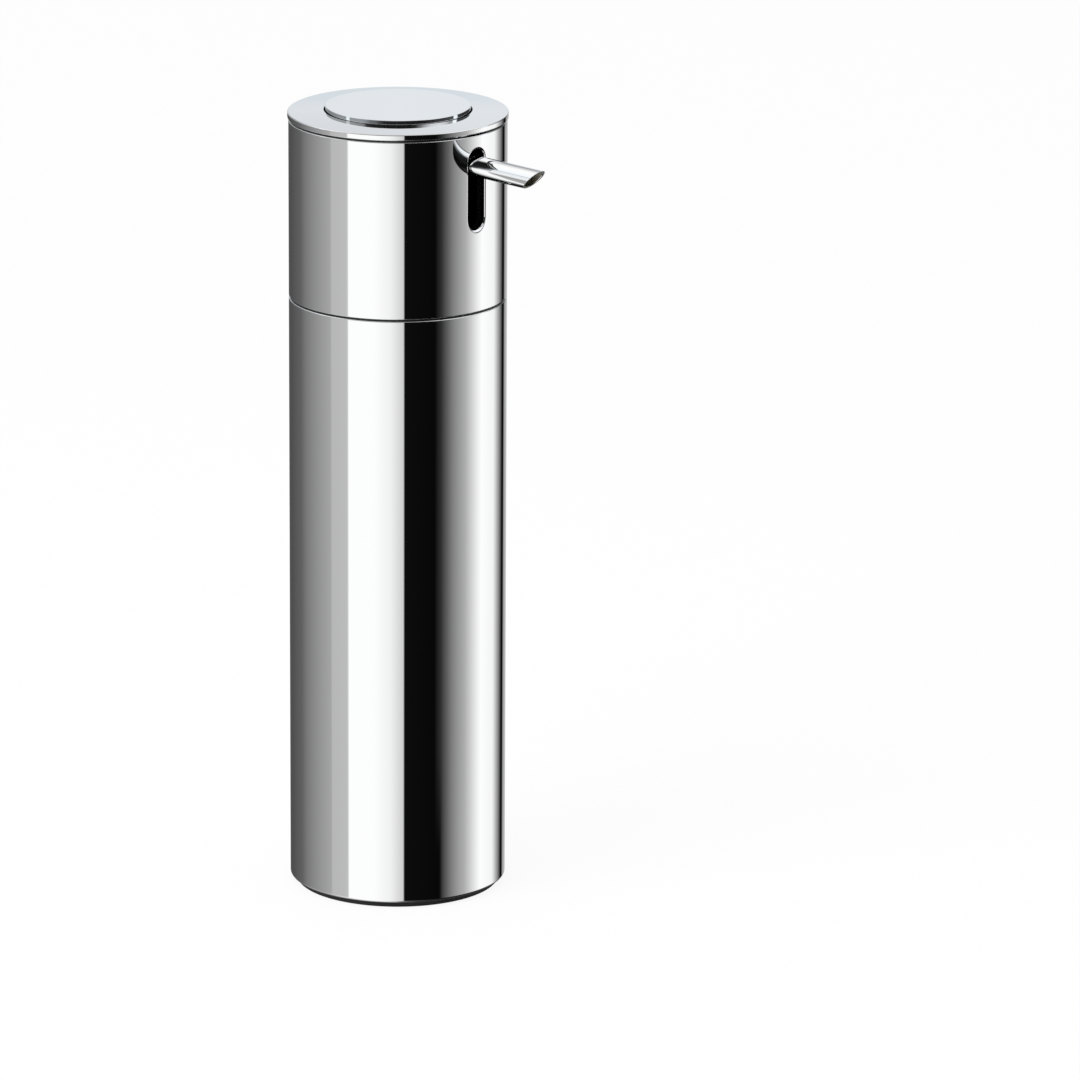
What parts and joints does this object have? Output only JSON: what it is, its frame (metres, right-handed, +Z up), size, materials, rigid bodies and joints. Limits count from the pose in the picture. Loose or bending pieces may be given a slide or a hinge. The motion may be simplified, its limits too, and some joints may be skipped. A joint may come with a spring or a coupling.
{
  "type": "soap dispenser",
  "caption": "Free-standing cylindrical soap dispenser; pressing the round top button pumps liquid soap out of a slim spout that travels in an upright slot.",
  "frame": {"origin": "centre of the foot's underside, on the surface that the dispenser stands on", "axes": "+Z up along the axis of the cylinder, the spout points to -Y, +X to the right of someone who faces the spout"},
  "size_m": [0.0524, 0.073, 0.1915],
  "materials": {
    "chrome": "polished chrome plate, mirror bright",
    "black_plastic": "black moulded plastic, satin",
    "black_rubber": "black rubber, matt",
    "natural_plastic": "natural translucent polypropylene",
    "steel": "bright stainless steel wire and balls"
  },
  "bodies": {
    "base": {"foot_pad": "black_rubber", "base_plate": "black_plastic", "body_tube": "chrome", "liner": "black_plastic"},
    "seal": {"skirt_ring": "black_rubber"},
    "head": {"pump_deck": "black_plastic", "head_tube": "chrome", "guide_sleeve": "black_plastic", "top_ring": "chrome", "pump_housing": "natural_plastic", "flange_gasket": "black_rubber", "stem_guide": "natural_plastic", "clamp_nut": "black_plastic", "ball_cage": "natural_plastic", "dip_tube": "natural_plastic", "pump_spring": "steel"},
    "plunger": {"push_button": "chrome", "actuator": "black_plastic", "spout": "chrome", "spout_ring": "black_rubber", "stem": "natural_plastic", "piston_seal": "black_rubber"},
    "inlet_valve": {"inlet_ball": "steel"},
    "outlet_valve": {"outlet_ball": "steel"}
  },
  "joints": [
    {"name": "head_lift", "type": "slide", "parent": "base", "child": "seal", "axis": [0, 0, 1], "range_m": [0, 0.145]},
    {"name": "head_turn", "type": "hinge", "parent": "seal", "child": "head", "pos_m": [0, 0, 0.139], "axis": [0, 0, 1], "continuous": true},
    {"name": "button_press", "type": "slide", "parent": "head", "child": "plunger", "axis": [0, 0, -1], "range_m": [0, 0.0125], "stiffness_N_per_m": 600, "springref_m": -0.008, "deforming": ["pump_spring"]},
    {"name": "inlet_valve_lift", "type": "slide", "parent": "head", "child": "inlet_valve", "axis": [0, 0, 1], "range_m": [0, 0.0012]},
    {"name": "outlet_valve_lift", "type": "slide", "parent": "plunger", "child": "outlet_valve", "axis": [0, 0, 1], "range_m": [0, 0.0012]}
  ]
}
